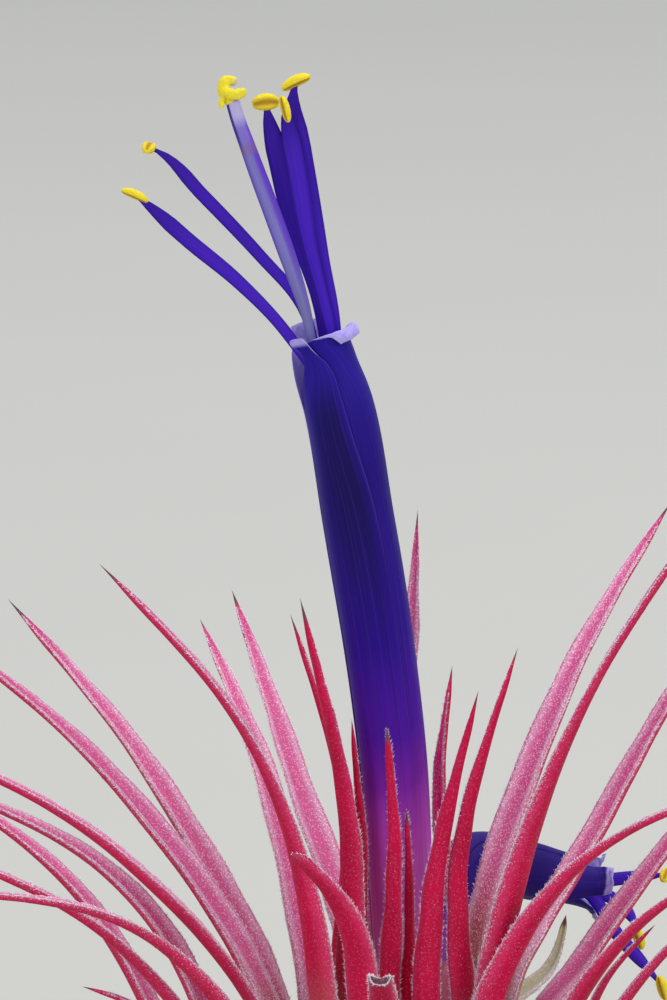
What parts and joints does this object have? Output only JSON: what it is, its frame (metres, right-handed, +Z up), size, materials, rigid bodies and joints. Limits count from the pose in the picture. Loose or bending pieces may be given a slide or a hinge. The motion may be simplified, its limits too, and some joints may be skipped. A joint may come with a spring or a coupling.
{
  "type": "sky plant",
  "caption": "Small air plant in bloom: a rosette of narrow silvery red leaves round an upright violet tube flower with yellow tips, with an older flower bent over behind.",
  "frame": {"origin": "middle of the flat foot of the stem, on the surface that the plant rests on", "axes": "+Z up along the stem, -Y towards the front of the picture, the open flower leans towards -X"},
  "size_m": [0.0704, 0.0705, 0.0811],
  "materials": {
    "leaf_red": "matt crimson under fine silvery scales",
    "leaf_rose": "matt rose red, silvery towards the foot",
    "leaf_pale": "matt pale grey green",
    "stem_brown": "dry brown, matt",
    "petal_violet": "deep violet, satin",
    "sepal_green": "pale green, satin",
    "filament_violet": "bright violet, satin",
    "style_lilac": "pale lilac, satin",
    "pollen_yellow": "powdery yellow"
  },
  "bodies": {
    "root": {"anther_1": "pollen_yellow", "anther_2": "pollen_yellow", "anther_3": "pollen_yellow", "anther_4": "pollen_yellow", "anther_5": "pollen_yellow", "anther_6": "pollen_yellow", "calyx": "sepal_green", "filaments": "filament_violet", "floral_bract": "leaf_red", "leaf_01": "leaf_red", "leaf_02": "leaf_red", "leaf_03": "leaf_red", "leaf_04": "leaf_red", "leaf_05": "leaf_red", "leaf_06": "leaf_red", "leaf_07": "leaf_red", "leaf_08": "leaf_red", "leaf_09": "leaf_red", "leaf_10": "leaf_red", "leaf_11": "leaf_red", "leaf_12": "leaf_red", "leaf_13": "leaf_red", "leaf_14": "leaf_red", "leaf_15": "leaf_red", "leaf_16": "leaf_red", "leaf_17": "leaf_red", "leaf_18": "leaf_red", "leaf_19": "leaf_red", "leaf_20": "leaf_red", "leaf_21": "leaf_red", "leaf_22": "leaf_red", "leaf_23": "leaf_red", "leaf_24": "leaf_pale", "leaf_25": "leaf_red", "leaf_26": "leaf_red", "leaf_27": "leaf_red", "leaf_28": "leaf_red", "leaf_29": "leaf_red", "leaf_30": "leaf_red", "leaf_31": "leaf_rose", "leaf_32": "leaf_rose", "leaf_33": "leaf_rose", "leaf_34": "leaf_rose", "leaf_35": "leaf_rose", "leaf_36": "leaf_rose", "leaf_37": "leaf_rose", "leaf_38": "leaf_rose", "leaf_39": "leaf_rose", "leaf_40": "leaf_rose", "old_anther_1": "pollen_yellow", "old_anther_2": "pollen_yellow", "old_anther_3": "pollen_yellow", "old_flower": "petal_violet", "petal_1": "petal_violet", "petal_2": "petal_violet", "petal_3": "petal_violet", "stem": "stem_brown", "stigma": "pollen_yellow", "style": "style_lilac"}
  },
  "joints": []
}
